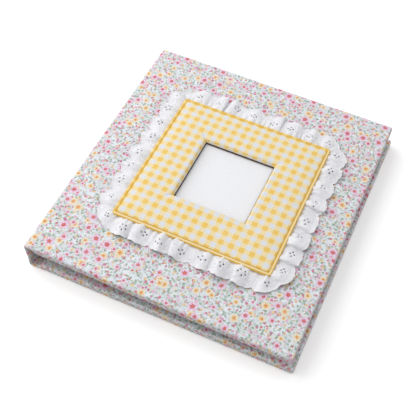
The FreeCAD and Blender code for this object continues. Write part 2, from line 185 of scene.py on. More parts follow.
class AlbumRuffle(bpy.types.PropertyGroup):
    """The gathered eyelet lace."""

    width: length("Width", "From the frame to the scalloped edge", 22.0 * MM)
    flat_width: length("Flat width", "The lace's width before it is sewn on", 23.5 * MM)
    flat_length: length("Flat length", "The lace's length before it is gathered", 760 * MM)
    scallop: length("Scallop", "Length of one scallop along the gathered lace", 21 * MM)
    scallop_depth: length("Scallop depth", "How far a scallop stands out", 3.2 * MM)
    fold: length("Fold", "Height of the folds", 4.9 * MM)
    overlap: length("Overlap", "How far a pleat laps over the next", 3.4 * MM)
    gather: length("Gather", "Height of the small gathers by the frame", 1.5 * MM)
    cloth: length("Cloth", "Thickness of the lace", 0.3 * MM)
    eyelet: length("Eyelet", "Radius of an eyelet", 0.84 * MM)
    rows: IntProperty(name="Rows", description="Rows of mesh across the lace", default=22, min=8)
    tint: colour("Tint", "The lace's white", 228, 228, 232)
    edge_tint: colour("Edge tint", "The stitched edge's white", 240, 240, 243)


class AlbumStage(bpy.types.PropertyGroup):
    """Floor, light and camera."""

    azimuth: FloatProperty(name="Azimuth", description="Camera, round the album, degrees", default=25.32)
    elevation: FloatProperty(name="Elevation", description="Camera, above the floor, degrees", default=54.44)
    roll: FloatProperty(name="Roll", description="Camera, about its own axis, degrees", default=-0.57)
    distance: length("Distance", "From the camera to the point it circles", 794.7 * MM)
    lens: FloatProperty(name="Lens", description="Focal length in millimetres", default=67.12)
    aim_x: length("Aim X", "Point on the floor that the camera circles", -7.6 * MM)
    aim_y: length("Aim Y", "Point on the floor that the camera circles", -12.0 * MM)
    sky: FloatProperty(name="Sky", description="Strength of the even light", default=0.76)
    key: FloatProperty(name="Key", description="Power of the large soft light", default=10.0)


# --- node trees ---


def put(tree, kind, inputs=None, **settings):
    """One node with its settings; an input is a value or another node's socket."""
    node = tree.nodes.new(kind)
    for name, value in settings.items():
        setattr(node, name, value)
    for name, value in (inputs or {}).items():
        if isinstance(value, bpy.types.NodeSocket):
            tree.links.new(value, node.inputs[name])
        else:
            node.inputs[name].default_value = value
    return node


def calc(tree, operation, *values, clamp=False):
    """The result of a Math node."""
    inputs = dict(enumerate(values))
    return put(tree, "ShaderNodeMath", inputs, operation=operation, use_clamp=clamp).outputs[0]


def vector_calc(tree, operation, *values, scale=None):
    """The result of a Vector Math node."""
    inputs = dict(enumerate(values))
    if scale is not None:
        inputs["Scale"] = scale
    return put(tree, "ShaderNodeVectorMath", inputs, operation=operation).outputs["Vector"]


def over(tree, mask, below, above):
    """Above laid over below where mask is 1."""
    node = put(tree, "ShaderNodeMix", {"Factor": mask}, data_type="RGBA")
    for name, value in (("A", below), ("B", above)):
        socket = next(s for s in node.inputs if s.name == name and s.type == "RGBA")
        if isinstance(value, bpy.types.NodeSocket):
            tree.links.new(value, socket)
        else:
            socket.default_value = (*value, 1)
    return next(s for s in node.outputs if s.type == "RGBA")


def ramp(tree, factor, stops):
    """A colour ramp; stops are (position, colour)."""
    node = put(tree, "ShaderNodeValToRGB", {"Fac": factor})
    band = node.color_ramp.elements
    while len(band) < len(stops):
        band.new(1)
    for element, (position, tint) in zip(band, stops):
        element.position = position
        element.color = (*tint, 1)
    return node.outputs["Color"]


def smooth(tree, value, low, high, start=0.0, end=1.0):
    """A smooth step of a value from low to high."""
    inputs = {"Value": value, "From Min": low, "From Max": high, "To Min": start, "To Max": end}
    return put(tree, "ShaderNodeMapRange", inputs, interpolation_type="SMOOTHSTEP").outputs[0]


def group(name, inputs, outputs, build):
    """A node group, built once. Sockets are (name, kind, default)."""
    if name in bpy.data.node_groups:
        return bpy.data.node_groups[name]
    tree = bpy.data.node_groups.new(name, "ShaderNodeTree")
    for socket, kind, default in inputs:
        made = tree.interface.new_socket(socket, in_out="INPUT", socket_type=f"NodeSocket{kind}")
        if default is not None:
            made.default_value = default
    for socket, kind in outputs:
        tree.interface.new_socket(socket, in_out="OUTPUT", socket_type=f"NodeSocket{kind}")
    start = tree.nodes.new("NodeGroupInput")
    results = build(tree, start.outputs)
    end = tree.nodes.new("NodeGroupOutput")
    for socket, value in results.items():
        tree.links.new(value, end.inputs[socket])
    return tree


def use(tree, shared, inputs):
    """The outputs of a node group placed in a material."""
    return put(tree, "ShaderNodeGroup", inputs, node_tree=shared).outputs


def motif_group():
    """Scattered printed shapes: one in each cell of an uneven grid, with petals or drawn out."""

    def build(tree, given):
        place = vector_calc(tree, "SCALE", given["Place"], scale=calc(tree, "DIVIDE", 1, given["Spacing"]))
        place = vector_calc(tree, "ADD", place, given["Shift"])
        cells = put(
            tree, "ShaderNodeTexVoronoi", {"Vector": place, "Scale": 1.0, "Randomness": 0.92},
            voronoi_dimensions="2D", feature="F1",
        ).outputs
        local = vector_calc(tree, "SUBTRACT", place, cells["Position"])
        local = vector_calc(tree, "SCALE", local, scale=given["Spacing"])
        chance = put(tree, "ShaderNodeSeparateColor", {"Color": cells["Color"]}).outputs
        turned = put(
            tree, "ShaderNodeVectorRotate",
            {"Vector": local, "Angle": calc(tree, "MULTIPLY", chance["Red"], 6.283)},
            rotation_type="Z_AXIS",
        ).outputs[0]
        part = put(tree, "ShaderNodeSeparateXYZ", {"Vector": turned}).outputs
        narrow = calc(tree, "MULTIPLY", part["Y"], given["Stretch"])
        squares = calc(
            tree, "ADD", calc(tree, "MULTIPLY", part["X"], part["X"]), calc(tree, "MULTIPLY", narrow, narrow)
        )
        distance = calc(tree, "POWER", squares, 0.5)
        angle = calc(tree, "ARCTAN2", narrow, part["X"])
        lobe = calc(tree, "ABSOLUTE", calc(tree, "COSINE", calc(tree, "MULTIPLY", angle, given["Petals"])))
        edge = calc(tree, "MULTIPLY_ADD", calc(tree, "SUBTRACT", lobe, 1), given["Notch"], 1)
        size = calc(tree, "MULTIPLY_ADD", chance["Green"], 0.45, 0.78)
        edge = calc(tree, "MULTIPLY", calc(tree, "MULTIPLY", edge, size), given["Radius"])
        reach = calc(tree, "DIVIDE", distance, edge)
        inside = smooth(tree, reach, 1.0, 0.82)
        present = calc(tree, "LESS_THAN", chance["Blue"], given["Share"])
        return {
            "Mask": calc(tree, "MULTIPLY", inside, present),
            "Reach": reach,
            "Chance": chance["Green"],
            "Lobe": lobe,
        }

    inputs = [
        ("Place", "Vector", None), ("Spacing", "Float", 0.02), ("Radius", "Float", 0.004),
        ("Petals", "Float", 2.5), ("Notch", "Float", 0.3), ("Stretch", "Float", 1.0),
        ("Share", "Float", 1.0), ("Shift", "Vector", None),
    ]
    outputs = [("Mask", "Float"), ("Reach", "Float"), ("Chance", "Float"), ("Lobe", "Float")]
    return group("Printed motif", inputs, outputs, build)


def weave_group():
    """The height of a plain weave, and a mottle that goes with it."""

    def build(tree, given):
        turns = calc(tree, "DIVIDE", 3.1416, given["Thread"])
        threads = vector_calc(tree, "SCALE", given["Place"], scale=turns)
        part = put(tree, "ShaderNodeSeparateXYZ", {"Vector": threads}).outputs
        across = calc(tree, "SINE", part["X"])
        along = calc(tree, "SINE", part["Y"])
        over_under = calc(tree, "MULTIPLY", across, along)
        slub = put(tree, "ShaderNodeTexNoise", {"Vector": given["Place"], "Scale": 900.0, "Detail": 2.0})
        height = calc(tree, "MULTIPLY_ADD", slub.outputs[0], 0.8, over_under)
        broad = put(tree, "ShaderNodeTexNoise", {"Vector": given["Place"], "Scale": 45.0, "Detail": 3.0})
        return {"Height": height, "Mottle": broad.outputs[0]}

    inputs = [("Place", "Vector", None), ("Thread", "Float", 0.0004)]
    return group("Plain weave", inputs, [("Height", "Float"), ("Mottle", "Float")], build)


def material(name, roughness, sheen=0.0):
    """A material with its Principled shader, and its tree."""
    made = bpy.data.materials.new(name)
    made.use_nodes = True
    shader = made.node_tree.nodes["Principled BSDF"]
    shader.inputs["Roughness"].default_value = roughness
    shader.inputs["Specular IOR Level"].default_value = 0.2
    shader.inputs["Sheen Weight"].default_value = sheen
    shader.inputs["Sheen Roughness"].default_value = 0.5
    return made, made.node_tree, shader


def bump(tree, shader, height, strength, distance):
    """Fine relief on the surface."""
    node = put(tree, "ShaderNodeBump", {"Height": height, "Strength": strength, "Distance": distance})
    tree.links.new(node.outputs[0], shader.inputs["Normal"])


def cloth_place(tree):
    """The place on the flat cloth, in metres."""
    return put(tree, "ShaderNodeUVMap", uv_map="cloth").outputs[0]


def unsteady(tree, place, scale, reach):
    """A place on the cloth, shifted a little here and there as print and threads are."""
    wander = put(tree, "ShaderNodeTexNoise", {"Vector": place, "Scale": scale, "Detail": 1.0})
    wander = vector_calc(tree, "SUBTRACT", wander.outputs["Color"], (0.5, 0.5, 0.5))
    return vector_calc(tree, "ADD", place, vector_calc(tree, "SCALE", wander, scale=reach))


def finish_cloth(tree, shader, tint, weave, strength, depth):
    """Gives a cloth its colour and the relief of its weave."""
    tree.links.new(tint, shader.inputs["Base Color"])
    bump(tree, shader, weave["Height"], strength, depth)


def printed_cotton():
    """Small roses, yellow flowers, buds and leaves scattered on a pale ground."""
    tints = bpy.context.scene.album_print
    made, tree, shader = material("printed_cotton", 0.85, sheen=0.15)
    place = cloth_place(tree)
    place_soft = unsteady(tree, place, 180.0, 1.6 * MM)
    motif = motif_group()

    def scatter(spacing, radius, shift, petals, notch, stretch, share):
        return use(tree, motif, {
            "Place": place_soft, "Spacing": spacing, "Radius": radius, "Shift": shift,
            "Petals": petals, "Notch": notch, "Stretch": stretch, "Share": share,
        })

    mottle = put(tree, "ShaderNodeTexNoise", {"Vector": place, "Scale": 70.0, "Detail": 2.0}).outputs[0]
    tint = ramp(tree, mottle, [(0.35, tints.ground), (0.65, seen(222, 228, 234))])
    stems = put(
        tree, "ShaderNodeTexVoronoi", {"Vector": place_soft, "Scale": 105.0},
        voronoi_dimensions="2D", feature="DISTANCE_TO_EDGE",
    ).outputs["Distance"]
    stem_mask = calc(tree, "MULTIPLY", smooth(tree, stems, 0.055, 0.02), 0.4)
    tint = over(tree, stem_mask, tint, tints.leaf)
    small = [  # spacing and radius in mm, shift, stretch, share, and the two tints between which each varies
        (3.3, 0.8, (3.1, 0.7, 0), 1.0, 0.8, tints.lilac, tints.peach),
        (4.3, 1.55, (1.3, 5.9, 0), 1.5, 0.9, tints.leaf, seen(176, 190, 180)),
        (5.2, 1.75, (7.7, 2.2, 0), 1.45, 0.85, tints.dark_leaf, tints.leaf),
        (5.0, 1.2, (6.1, 3.3, 0), 1.0, 0.8, seen(218, 224, 230), seen(204, 196, 216)),
        (7.0, 1.4, (2.9, 8.4, 0), 1.3, 0.75, tints.pink, tints.magenta),
        (8.0, 1.8, (4.6, 1.1, 0), 1.1, 0.6, seen(222, 196, 206), tints.pink),
        (9.5, 1.6, (9.2, 4.4, 0), 1.15, 0.7, tints.coral, tints.magenta),
        (9.0, 1.7, (5.5, 6.1, 0), 1.2, 0.75, tints.orange, tints.peach),
    ]
    for spacing, radius, shift, stretch, share, first, second in small:
        spots = scatter(spacing * MM, radius * MM, shift, 1.5, 0.25, stretch, share)
        shade = over(tree, spots["Chance"], first, second)
        tint = over(tree, calc(tree, "MULTIPLY", spots["Mask"], 0.86), tint, shade)
    yellow = [(0.0, tints.coral), (0.16, tints.orange), (0.34, seen(220, 172, 108)), (0.5, tints.peach),
              (0.84, seen(226, 212, 186)), (1.0, seen(214, 180, 132))]
    rose = [(0.0, tints.orange), (0.12, tints.coral), (0.24, tints.coral), (0.34, tints.magenta),
            (0.46, tints.pink), (0.64, seen(220, 178, 204)), (0.78, seen(224, 196, 214)),
            (0.88, seen(208, 150, 184)), (1.0, seen(214, 184, 204))]
    flowers = [  # spacing and radius as parts of a rose's, shift, share, and the bands from the middle out
        (0.93, 0.82, (0.0, 0.0, 0), 0.75, yellow),
        (1.3, 0.95, (4.2, 7.7, 0), 0.7, yellow),
        (0.62, 0.55, (8.8, 1.9, 0), 0.5, rose),
        (1.0, 0.98, (0.19, 0.17, 0), 0.85, rose),
    ]
    broken = put(tree, "ShaderNodeTexNoise", {"Vector": place, "Scale": 800.0, "Detail": 1.0}).outputs[0]
    flecks = smooth(tree, broken, 0.5, 0.6, 0.0, 0.75)
    for spacing, radius, shift, share, bands in flowers:
        spacing, radius = tints.rose_spacing * spacing, tints.rose_radius * radius
        bloom = scatter(spacing, radius, shift, 2.5, 0.17, 1.0, share)
        petal = ramp(tree, bloom["Reach"], bands)
        between = smooth(tree, bloom["Lobe"], 0.34, 0.05)
        streak = calc(tree, "MULTIPLY", between, smooth(tree, bloom["Reach"], 0.2, 0.7))
        petal = over(tree, streak, petal, tints.ground)
        worn = calc(tree, "MULTIPLY", flecks, smooth(tree, bloom["Reach"], 0.35, 0.6))
        petal = over(tree, worn, petal, seen(226, 230, 232))
        tint = over(tree, bloom["Mask"], tint, petal)
    weave = use(tree, weave_group(), {"Place": place, "Thread": 0.42 * MM})
    tint = over(tree, smooth(tree, weave["Mottle"], 0.35, 0.75, 0.0, 0.10), tint, seen(206, 210, 216))
    finish_cloth(tree, shader, tint, weave, 0.35, 0.12 * MM)
    return made


def gingham():
    """Yellow and white checks: full colour where two yellow stripes cross, half where one does."""
    tints = bpy.context.scene.album_frame
    made, tree, shader = material("gingham_cotton", 0.85, sheen=0.15)
    place = cloth_place(tree)
    bent = unsteady(tree, place, 60.0, 0.9 * MM)
    part = put(tree, "ShaderNodeSeparateXYZ", {"Vector": bent}).outputs

    def stripe(axis):
        turns = calc(tree, "DIVIDE", part[axis], tints.check)
        wave = calc(tree, "PINGPONG", turns, 0.5)
        return smooth(tree, wave, 0.235, 0.265)

    across, along = stripe("X"), stripe("Y")
    weave = use(tree, weave_group(), {"Place": place, "Thread": 0.5 * MM})
    one = calc(tree, "MAXIMUM", across, along)
    both = calc(tree, "MULTIPLY", across, along)
    tint = over(tree, one, tints.white, tints.half_yellow)
    tint = over(tree, both, tint, tints.yellow)
    tint = over(tree, smooth(tree, weave["Mottle"], 0.3, 0.8, 0.0, 0.12), tint, seen(240, 226, 190))
    finish_cloth(tree, shader, tint, weave, 0.4, 0.15 * MM)
    return made


def piping_cotton():
    """A gingham strip sewn round a cord: it crosses the yellow stripes on two sides, and follows one
    on the others, where a pale band is painted along its top as a highlight."""
    tints = bpy.context.scene.album_frame
    made, tree, shader = material("piping_cotton", 0.8, sheen=0.15)
    place = cloth_place(tree)
    part = put(tree, "ShaderNodeSeparateXYZ", {"Vector": place}).outputs
    wave = calc(tree, "PINGPONG", calc(tree, "DIVIDE", part["X"], tints.check), 0.5)
    gold = over(tree, smooth(tree, part["Y"], 1.0 * MM, 5.0 * MM), seen(226, 182, 84), tints.yellow)
    tint = over(tree, smooth(tree, wave, 0.18, 0.24), seen(238, 208, 128), gold)
    # painted highlight: a pale band along the top of the piping where it follows a stripe
    follows = smooth(tree, part["X"], 0.0, -1.0 * MM)
    off_middle = calc(tree, "ABSOLUTE", calc(tree, "SUBTRACT", part["Y"], 2.6 * MM))
    band = calc(tree, "MULTIPLY", smooth(tree, off_middle, 0.95 * MM, 0.35 * MM), follows)
    tint = over(tree, band, tint, seen(238, 222, 178))
    weave = use(tree, weave_group(), {"Place": place, "Thread": 0.5 * MM})
    tint = over(tree, smooth(tree, weave["Mottle"], 0.3, 0.8, 0.0, 0.2), tint, seen(206, 160, 70))
    finish_cloth(tree, shader, tint, weave, 0.5, 0.15 * MM)
    return made


def plain_cotton(name, tint, thread, translucent):
    """White cotton, thread in mm, that lets a little light through."""
    made, tree, shader = material(name, 0.9, sheen=0.2)
    place = cloth_place(tree)
    weave = use(tree, weave_group(), {"Place": place, "Thread": thread * MM})
    darker = tuple(c * 0.84 for c in tint)
    stitched = put(tree, "ShaderNodeTexNoise", {"Vector": place, "Scale": 420.0, "Detail": 3.0}).outputs[0]
    stitched = smooth(tree, stitched, 0.35, 0.7)
    mottle = calc(tree, "MULTIPLY", stitched, smooth(tree, weave["Mottle"], 0.2, 0.6))
    shade = over(tree, mottle, tint, darker)
    shader.inputs["Subsurface Weight"].default_value = translucent
    shader.inputs["Subsurface Radius"].default_value = (1.5 * MM, 1.5 * MM, 1.5 * MM)
    finish_cloth(tree, shader, shade, weave, 0.35, 0.12 * MM)
    return made


def card(name, tint, grain, roughness=0.8):
    """Paper or board: fine fibres and a faint tooth."""
    made, tree, shader = material(name, roughness)
    place = put(tree, "ShaderNodeTexCoord").outputs["Object"]
    look = {"Vector": place, "Scale": grain, "Detail": 5.0, "Distortion": 0.6}
    fibre = put(tree, "ShaderNodeTexNoise", look).outputs[0]
    shade = ramp(tree, fibre, [(0.35, tuple(c * 0.97 for c in tint)), (0.65, tint)])
    tree.links.new(shade, shader.inputs["Base Color"])
    bump(tree, shader, fibre, 0.2, 0.08 * MM)
    return made


def metal(name, tint, roughness, brushed=0.0):
    """Plated or bare steel with fine rubbing marks."""
    made, tree, shader = material(name, roughness)
    shader.inputs["Metallic"].default_value = 1.0
    place = put(tree, "ShaderNodeTexCoord").outputs["Object"]
    drawn = put(tree, "ShaderNodeMapping", {"Vector": place, "Scale": (900.0, 40.0, 900.0)}).outputs[0]
    marks = put(tree, "ShaderNodeTexNoise", {"Vector": drawn, "Scale": 1.0, "Detail": 3.0}).outputs[0]
    cloud = put(tree, "ShaderNodeTexNoise", {"Vector": place, "Scale": 120.0, "Detail": 4.0}).outputs[0]
    shade = ramp(tree, cloud, [(0.3, tuple(c * 0.86 for c in tint)), (0.7, tint)])
    tree.links.new(shade, shader.inputs["Base Color"])
    rough = smooth(tree, marks, 0.3, 0.75, roughness * 0.7, roughness * 1.6 + brushed)
    tree.links.new(rough, shader.inputs["Roughness"])
    bump(tree, shader, marks, 0.08 + brushed, 0.02 * MM)
    return made


def finish_named(name, make):
    """A material made once and shared."""
    return bpy.data.materials.get(name) or make()


def cotton():
    """The covers' cloth."""
    return finish_named("printed_cotton", printed_cotton)


def checks():
    """The frame's cloth."""
    return finish_named("gingham_cotton", gingham)


# --- mesh making ---


def add_mesh(name, points, faces, finish, uv=None, smooth_faces=True):
    """An object from points and faces; uv gives each face's corner its place on the flat cloth."""
    mesh = bpy.data.meshes.new(name)
    mesh.from_pydata([tuple(p) for p in points], [], faces)
    if uv is not None:
        layer = mesh.uv_layers.new(name="cloth")
        flat = np.array([c for face in uv for c in face], np.float32)
        layer.data.foreach_set("uv", flat.ravel())
    mesh.polygons.foreach_set("use_smooth", [smooth_faces] * len(mesh.polygons))
    mesh.materials.append(finish)
    mesh.update()
    made = bpy.data.objects.new(name, mesh)
    bpy.context.scene.collection.objects.link(made)
    return made


def loft(name, rings, along, around, finish, cap_end=False):
    """A skin through closed rings of points. along and around place each ring and point on the cloth.
    cap_end closes the last ring with a strip of quads."""
    count = len(rings[0])
    points = [p for ring in rings for p in ring]
    faces, uv = [], []
    for i in range(len(rings) - 1):
        for j in range(count):
            k = (j + 1) % count
            faces.append((i * count + j, i * count + k, (i + 1) * count + k, (i + 1) * count + j))
            uv.append([(along[i], around[j]), (along[i], around[j + 1]),
                       (along[i + 1], around[j + 1]), (along[i + 1], around[j])])
    if cap_end:
        last = (len(rings) - 1) * count
        for j in range(count // 2):
            if count - j - 1 <= j + 1:
                break
            far = (count - j) % count
            faces.append((last + j, last + j + 1, last + count - j - 1, last + far))
            uv.append([(along[-1], around[j])] * 4)
    return add_mesh(name, points, faces, finish, uv)


def section(half, radius, thick):
    """A flat ring with round edges, as (place along Y, depth from the outer face) pairs.
    It starts on the inner face's middle line and goes round by the head."""
    run = half - radius
    across = 26
    steps = [run * (1 - (1 - i / across) ** 1.6) for i in range(across + 1)]
    inner_head = [(y, thick) for y in steps]
    curve = [i * math.pi / 2 / BEND_STEPS for i in range(1, BEND_STEPS + 1)]
    lower = [(run + radius * math.sin(a), thick - radius + radius * math.cos(a)) for a in curve]
    upper = [(run + radius * math.cos(a), radius - radius * math.sin(a)) for a in curve]
    head = inner_head + lower + [(run + radius, radius)] + upper
    outer = [(y, 0.0) for y in reversed(steps[:-1])]
    half_ring = head + outer
    tail = [(-y, depth) for y, depth in reversed(half_ring[1:-1])]
    return half_ring + tail


def travel(points):
    """Distance along a closed run of points, with the closing step."""
    total = [0.0]
    for a, b in zip(points, points[1:] + points[:1]):
        total.append(total[-1] + math.dist(a, b))
    return total


def ease(value, low, high):
    """A smooth step of a value from low to high, 0 to 1."""
    share = min(max((value - low) / (high - low), 0.0), 1.0)
    return share * share * (3 - 2 * share)


def soften(made):
    """Rounds a mesh by one level of subdivision."""
    modifier = made.modifiers.new("smooth_surface", "SUBSURF")
    modifier.levels = 1
    modifier.render_levels = 1
    return made


def turned_over(rings, around):
    """The same rings the other way round, so that the faces look out where the outer face is below."""
    rings = [[ring[0]] + ring[:0:-1] for ring in rings]
    return rings, [around[-1] - value for value in reversed(around)]


def uneven(x, y, seed):
    """A slow unevenness about zero, mostly between -1 and 1."""
    broad = noise.noise(Vector((x * 38, y * 38, seed)))
    return broad + 0.5 * noise.noise(Vector((x * 95, y * 95, seed + 5)))


# --- the covers ---


def make_cover(name, width, outer_z, inward, swell, taper, hinge_thick):
    """A padded cover from its hinge to its fore edge. inward is -1 where the outer face is on top."""
    sizes = bpy.context.scene.album_covers
    radius = sizes.edge_round
    taper_steps, flat_steps = 8, 48
    stations = [taper * i / taper_steps for i in range(taper_steps + 1)]
    run = width - radius - taper
    stations += [taper + run * i / flat_steps for i in range(1, flat_steps + 1)]
    insets = [0.0] * len(stations)
    for i in range(1, BEND_STEPS + 1):
        angle = i * math.pi / 2 / BEND_STEPS
        stations.append(width - radius + radius * math.sin(angle))
        insets.append(radius * (1 - math.cos(angle)))
    turn_in_step = 0.35 * MM  # how far the cloth folded onto the inner face stands over the rest of it
    around = travel(section(HALF_LENGTH, radius, COVER_THICK))
    rings, along = [], [PANEL_X]
    for i, (place, inset) in enumerate(zip(stations, insets)):
        thick = hinge_thick + (COVER_THICK - hinge_thick) * ease(place, 0.0, taper)
        thick -= 2 * inset
        edge = min(radius - inset, thick * ROUND_SHARE)
        ring = []
        for y, depth in section(HALF_LENGTH - inset, max(edge, 0.15 * MM), thick):
            x = PANEL_X + place
            depth += inset
            if depth < inset + 0.4 * thick:
                depth -= swell(x, y)
            elif depth > inset + 0.9 * thick:
                rim = min(width - place, HALF_LENGTH - abs(y), place)
                depth -= turn_in_step * ease(rim, sizes.turn_in - 0.6 * MM, sizes.turn_in)
            ring.append(Vector((x, y, outer_z + inward * depth)))
        rings.append(ring)
        if i:
            gap = math.hypot(stations[i] - stations[i - 1], insets[i] - insets[i - 1])
            along.append(along[-1] + gap)
    if inward > 0:
        rings, around = turned_over(rings, around)
    return loft(name, rings, along, around, cotton(), cap_end=True)


def front_swell(x, y):
    """The padding stands up between the frame and the edges, and lies flat under the frame and where
    the card slides out at the head."""
    sizes = bpy.context.scene.album_covers
    outside = max(abs(x - FRAME_CENTRE.x), abs(y - FRAME_CENTRE.y)) - FRAME_HALF
    free = ease(outside, 0.0, 18 * MM)
    rim = min(HALF_LENGTH - abs(y), PANEL_X + FRONT_WIDTH - x)
    swelling = sizes.crown * ease(rim, 0.0, 22 * MM)
    from_hinge = ease(x - PANEL_X, 1.0 * MM, 14 * MM)
    if y > FRAME_CENTRE.y:
        free *= ease(abs(x - FRAME_CENTRE.x), CARD_HALF + 1 * MM, CARD_HALF + 12 * MM)
    return free * from_hinge * (swelling + sizes.rumple * uneven(x, y, 3.0))


def back_swell(x, y):
    """The back's padding is pressed in a little by the album's weight, unevenly."""
    sizes = bpy.context.scene.album_covers
    return -0.5 * sizes.rumple * abs(uneven(x, y, 9.0)) * ease(x - PANEL_X, 1.0 * MM, 14 * MM)


def corner_path(radius):
    """Points and outward directions from a cover's edge to the spine, in X and Z from the corner."""
    steps = 10
    flat = [(-x, 0.0, 0.0, -1.0) for x in (0.0, (REACH - radius) / 2)]
    bend = []
    for i in range(steps + 1):
        angle = math.pi / 2 * i / steps
        out_x, out_z = -math.sin(angle), -math.cos(angle)
        bend.append((-(REACH - radius) + radius * out_x, radius + radius * out_z, out_x, out_z))
    rise = [(-REACH, z, -1.0, 0.0) for z in ((REACH + radius) / 2, REACH)]
    return flat + bend + rise


def hinge_cloth(name, radius, bodies, upper):
    """The cloth that bends round one corner of the spine, from a cover to the spine. The upper one
    also holds the end of the front cover's padding, and so thins towards the spine."""
    sizes = bpy.context.scene.album_covers
    thick = sizes.hinge_cloth
    around = travel(section(HALF_LENGTH, thick * ROUND_SHARE, thick))
    path = corner_path(radius)
    rings, along = [], [PANEL_X]
    for i, (x, z, out_x, out_z) in enumerate(path):
        if upper:
            z, out_z = RISE - z, -out_z
            near_cover = 1 - i / (len(path) - 1)
            thick = sizes.hinge_cloth + (sizes.shoulder - sizes.hinge_cloth) * near_cover ** 0.8
            turn = Matrix.Rotation(TILT * near_cover * near_cover * (3 - 2 * near_cover), 4, "Y")
        ring = []
        for y, depth in section(HALF_LENGTH, thick * ROUND_SHARE, thick):
            point = Vector((PANEL_X + x - out_x * depth, y, z - out_z * depth))
            if upper:
                point = FRONT_HINGE + turn @ (point - FRONT_HINGE)
            ring.append(point)
        rings.append(ring)
        if i:
            along.append(along[-1] - math.dist(path[i][:2], path[i - 1][:2]))
    if not upper:
        rings, around = turned_over(rings, around)
    made = loft(name, rings, along, around, cotton())
    made.data.flip_normals()
    cover_end = sum(rings[0], Vector()) / len(rings[0])
    spine_end = sum(rings[-1], Vector()) / len(rings[-1])
    if upper:
        cover_end, spine_end = spine_end, cover_end
    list(bodies)
    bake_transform(made)
    return made


def make_spine():
    """The spine's board wrapped in cloth, standing between the two hinges."""
    sizes = bpy.context.scene.album_covers
    low, high = SPINE_LOW.z, SPINE_HIGH.z
    full = (SPINE_HIGH.x - SPINE_LOW.x) - 0.5 * MM
    steps = 16
    heights = [low + (high - low) * i / steps for i in range(steps + 1)]
    around = travel(section(HALF_LENGTH, sizes.hinge_cloth * ROUND_SHARE, sizes.hinge_cloth))
    rings = []
    for z in heights:
        rim = min(z - low, high - z)
        thick = sizes.hinge_cloth + (full - sizes.hinge_cloth) * ease(rim, 0.0, 2.2 * MM)
        outline = section(HALF_LENGTH, thick * ROUND_SHARE, thick)
        rings.append([Vector((OUTSIDE_X + depth, y, z)) for y, depth in outline])
    along = [PANEL_X - REACH * math.pi / 2 - (z - low) for z in heights]
    return loft("spine_wrap", rings, along, around, cotton())


class ALBUM_OT_covers(bpy.types.Operator):
    """Builds the padded covers, the spine and the cloth that joins them"""

    bl_idname = "album.covers"
    bl_label = "Covers and spine"

    def execute(self, context):
        sizes = context.scene.album_covers
        back_width = BACK_HIGH.x - PANEL_X
        back = make_cover("back_cover_wrap", back_width, 0.0, 1, back_swell, sizes.taper, sizes.hinge_cloth)
        soften(back)
        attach(back, "back_cover")
        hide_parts("back_fabric", "back_padding", "back_board")
        front = make_cover("front_cover_wrap", FRONT_WIDTH, RISE, -1, front_swell, sizes.shoulder_wide,
                           sizes.shoulder)
        front.data.transform(LEAN)
        soften(front)
        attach(front, "front_cover")
        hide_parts("front_fabric", "front_padding", "front_board")
        spine = make_spine()
        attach(spine, "spine")
        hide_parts("spine_fabric", "spine_padding", "spine_board")
        lower = hinge_cloth("back_hinge_cloth", sizes.foot_corner, ("back_cover", "spine"), False)
        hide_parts("back_hinge_strip")
        upper = hinge_cloth("front_hinge_cloth", sizes.top_corner, ("spine", "front_cover"), True)
        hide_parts("front_hinge_strip")
        return {"FINISHED"}


# --- the photo frame ---


def frame_height(x, y, sizes, half):
    """Height of the frame's padding over its foot, at a place measured from the frame's middle."""
    hole = sizes.window / 2
    from_edge = max(half - max(abs(x), abs(y)), 0.0)
    from_window = math.hypot(max(abs(x) - hole, 0.0), max(abs(y) - hole, 0.0))
    shoulder = min(from_edge / sizes.outer_round, 1.0)
    crown = min(from_edge / (half - hole) * 2, 1.0)
    lip = min(from_window / sizes.inner_round, 1.0)
    rise = 0.64 * (1 - (1 - shoulder) ** 2) ** 0.5 + 0.36 * (1 - (1 - crown) ** 2)
    lip_rise = (1 - (1 - lip) ** 2.3) ** 0.5
    near_corner = math.exp(-((math.hypot(abs(x) - hole, abs(y) - hole) / (7 * MM)) ** 2))
    crease = math.exp(-(((abs(x) - abs(y)) / (1.5 * MM)) ** 2))
    pinch = near_corner * (0.10 + 0.2 * crease)
    lump = 0.035 * uneven(x, y, 21.0) * shoulder
    return (sizes.top - sizes.foot) * rise * lip_rise * (1 - pinch + lump * lip)


